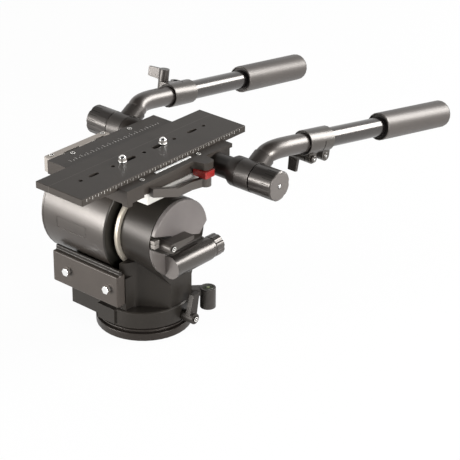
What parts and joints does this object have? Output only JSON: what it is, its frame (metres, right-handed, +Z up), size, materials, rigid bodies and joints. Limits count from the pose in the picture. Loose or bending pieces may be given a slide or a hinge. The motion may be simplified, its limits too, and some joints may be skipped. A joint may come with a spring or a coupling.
{
  "type": "video tripod fluid head",
  "caption": "Flat-base fluid head for a video tripod: tilting drum, sliding camera plate, clamp levers and telescopic pan handles.",
  "frame": {"origin": "centre of the flat seat face, on the pan axis", "axes": "+Z up along the pan axis, +Y the way the camera looks, +X the operator's right along the tilt axis"},
  "size_m": [0.3262, 0.6282, 0.2576],
  "materials": {
    "dark_anodised": "satin black anodised",
    "satin_casting": "satin dark grey anodised",
    "bare_aluminium": "machined",
    "champagne_ring": "brushed",
    "cover_grey": "satin grey",
    "bright_steel": "polished",
    "plain_steel": "plain",
    "moulded_rubber": "satin moulded rubber",
    "moulded_black": "moulded",
    "signal_red": "red",
    "index_white": "white",
    "friction_lining": "lining",
    "level_glass": "level vial",
    "spring_steel": "spring steel",
    "tube_alloy": "gloss black anodised tube"
  },
  "bodies": {
    "seat": {"mounting_base": "dark_anodised", "pan_spindle": "plain_steel", "pan_bearing_lower": "bright_steel", "pan_bearing_upper": "bright_steel", "spindle_nut": "plain_steel", "pan_drag_disc": "friction_lining"},
    "pan_body": {"pan_housing": "satin_casting", "accessory_block": "dark_anodised", "accessory_bolt_left": "bright_steel", "accessory_bolt_right": "bright_steel", "side_cover": "cover_grey", "tilt_clamp_boss": "plain_steel", "collar_ring": "champagne_ring", "tilt_axle": "plain_steel", "tilt_bearing_left": "bright_steel", "tilt_bearing_right": "bright_steel", "tilt_drag_stator": "bare_aluminium", "drag_cylinder": "satin_casting", "level_holder": "moulded_black", "level_vial": "level_glass"},
    "pan_lock": {"pan_lock_lever": "moulded_black", "pan_lever_screw": "bright_steel"},
    "tilt_lock": {"tilt_lock_lever": "moulded_black", "tilt_lever_screw": "bright_steel"},
    "drag_dial": {"tilt_drag_knob": "moulded_black"},
    "tilt_head": {"tilting_drum": "satin_casting", "drum_end_cap": "satin_casting", "blank_name_plate": "dark_anodised", "balance_spring": "spring_steel", "tilt_drag_rotor": "friction_lining", "tilt_saddle": "bare_aluminium", "slide_base": "dark_anodised", "index_strip": "index_white", "platform_screw_front_left": "bright_steel", "platform_screw_front_right": "bright_steel", "platform_screw_rear_left": "bright_steel", "platform_screw_rear_right": "bright_steel", "clamp_rail": "bare_aluminium", "rail_screw_front": "bright_steel", "rail_screw_rear": "bright_steel", "handle_yoke": "dark_anodised"},
    "plate": {"camera_plate": "dark_anodised"},
    "front_camera_screw": {"camera_screw_front": "bright_steel"},
    "rear_camera_screw": {"camera_screw_rear": "bright_steel"},
    "plate_lock": {"plate_lock_lever": "cover_grey"},
    "catch": {"release_catch": "signal_red"},
    "left_handle": {"left_handle_elbow": "satin_casting", "left_bent_tube": "tube_alloy", "left_clamp_collar": "satin_casting"},
    "left_clamp": {"left_clamp_lever": "moulded_black"},
    "left_extension": {"left_sliding_tube": "tube_alloy", "left_grip": "moulded_rubber"},
    "left_knob": {"left_rosette_knob": "satin_casting"},
    "right_handle": {"right_handle_elbow": "satin_casting", "right_bent_tube": "tube_alloy", "right_clamp_collar": "satin_casting"},
    "right_clamp": {"right_clamp_lever": "moulded_black"},
    "right_extension": {"right_sliding_tube": "tube_alloy", "right_grip": "moulded_rubber"},
    "right_knob": {"right_rosette_knob": "satin_casting"}
  },
  "joints": [
    {"name": "pan", "type": "hinge", "parent": "seat", "child": "pan_body", "pos_m": [0, 0, 0], "axis": [0, 0, 1], "continuous": true},
    {"name": "pan_lock_turn", "type": "hinge", "parent": "pan_body", "child": "pan_lock", "pos_m": [-0.0623, -0.009, 0.0244], "axis": [1, 0, 0], "range_deg": [-30, 18]},
    {"name": "tilt_lock_turn", "type": "hinge", "parent": "pan_body", "child": "tilt_lock", "pos_m": [-0.059, 0.033, 0.1428], "axis": [-1, 0, 0], "range_deg": [0, 45]},
    {"name": "drag_dial_turn", "type": "hinge", "parent": "pan_body", "child": "drag_dial", "pos_m": [-0.07, -0.0494, 0.109], "axis": [0, -1, 0], "range_deg": [-150, 150]},
    {"name": "tilt", "type": "hinge", "parent": "pan_body", "child": "tilt_head", "pos_m": [0, 0, 0.1397], "axis": [1, 0, 0], "range_deg": [-80, 55]},
    {"name": "plate_slide", "type": "slide", "parent": "tilt_head", "child": "plate", "axis": [0, 1, 0], "range_m": [-0.06, 0.06]},
    {"name": "front_camera_screw_slide", "type": "slide", "parent": "plate", "child": "front_camera_screw", "axis": [0, 1, 0], "range_m": [-0.019, 0]},
    {"name": "rear_camera_screw_slide", "type": "slide", "parent": "plate", "child": "rear_camera_screw", "axis": [0, 1, 0], "range_m": [-0.004, 0.015]},
    {"name": "plate_lock_turn", "type": "hinge", "parent": "tilt_head", "child": "plate_lock", "pos_m": [-0.066, -0.0465, 0.1975], "axis": [0, 0, 1], "range_deg": [0, 55]},
    {"name": "catch_press", "type": "slide", "parent": "tilt_head", "child": "catch", "axis": [1, 0, 0], "range_m": [0, 0.0018], "stiffness_N_per_m": 400},
    {"name": "left_handle_swing", "type": "hinge", "parent": "tilt_head", "child": "left_handle", "pos_m": [-0.1117, -0.0792, 0.2135], "axis": [1, 0, 0], "range_deg": [-90, 70]},
    {"name": "left_knob_turn", "type": "hinge", "parent": "tilt_head", "child": "left_knob", "pos_m": [-0.1232, -0.0792, 0.2135], "axis": [-1, 0, 0], "continuous": true},
    {"name": "left_grip_slide", "type": "slide", "parent": "left_handle", "child": "left_extension", "axis": [-0.0448, -0.9857, -0.1623], "range_m": [-0.011, 0.014]},
    {"name": "left_clamp_turn", "type": "hinge", "parent": "left_handle", "child": "left_clamp", "pos_m": [-0.11918, -0.18699, 0.20483], "axis": [0.999, -0.0442, -0.0073], "range_deg": [-60, 60]},
    {"name": "right_handle_swing", "type": "hinge", "parent": "tilt_head", "child": "right_handle", "pos_m": [0.1117, -0.0792, 0.2135], "axis": [1, 0, 0], "range_deg": [-90, 70]},
    {"name": "right_knob_turn", "type": "hinge", "parent": "tilt_head", "child": "right_knob", "pos_m": [0.1232, -0.0792, 0.2135], "axis": [1, 0, 0], "continuous": true},
    {"name": "right_grip_slide", "type": "slide", "parent": "right_handle", "child": "right_extension", "axis": [0.0448, -0.9857, -0.1623], "range_m": [-0.017, 0.007]},
    {"name": "right_clamp_turn", "type": "hinge", "parent": "right_handle", "child": "right_clamp", "pos_m": [0.14065, -0.18954, 0.22621], "axis": [0, -0.1625, 0.9867], "range_deg": [-60, 60]}
  ]
}
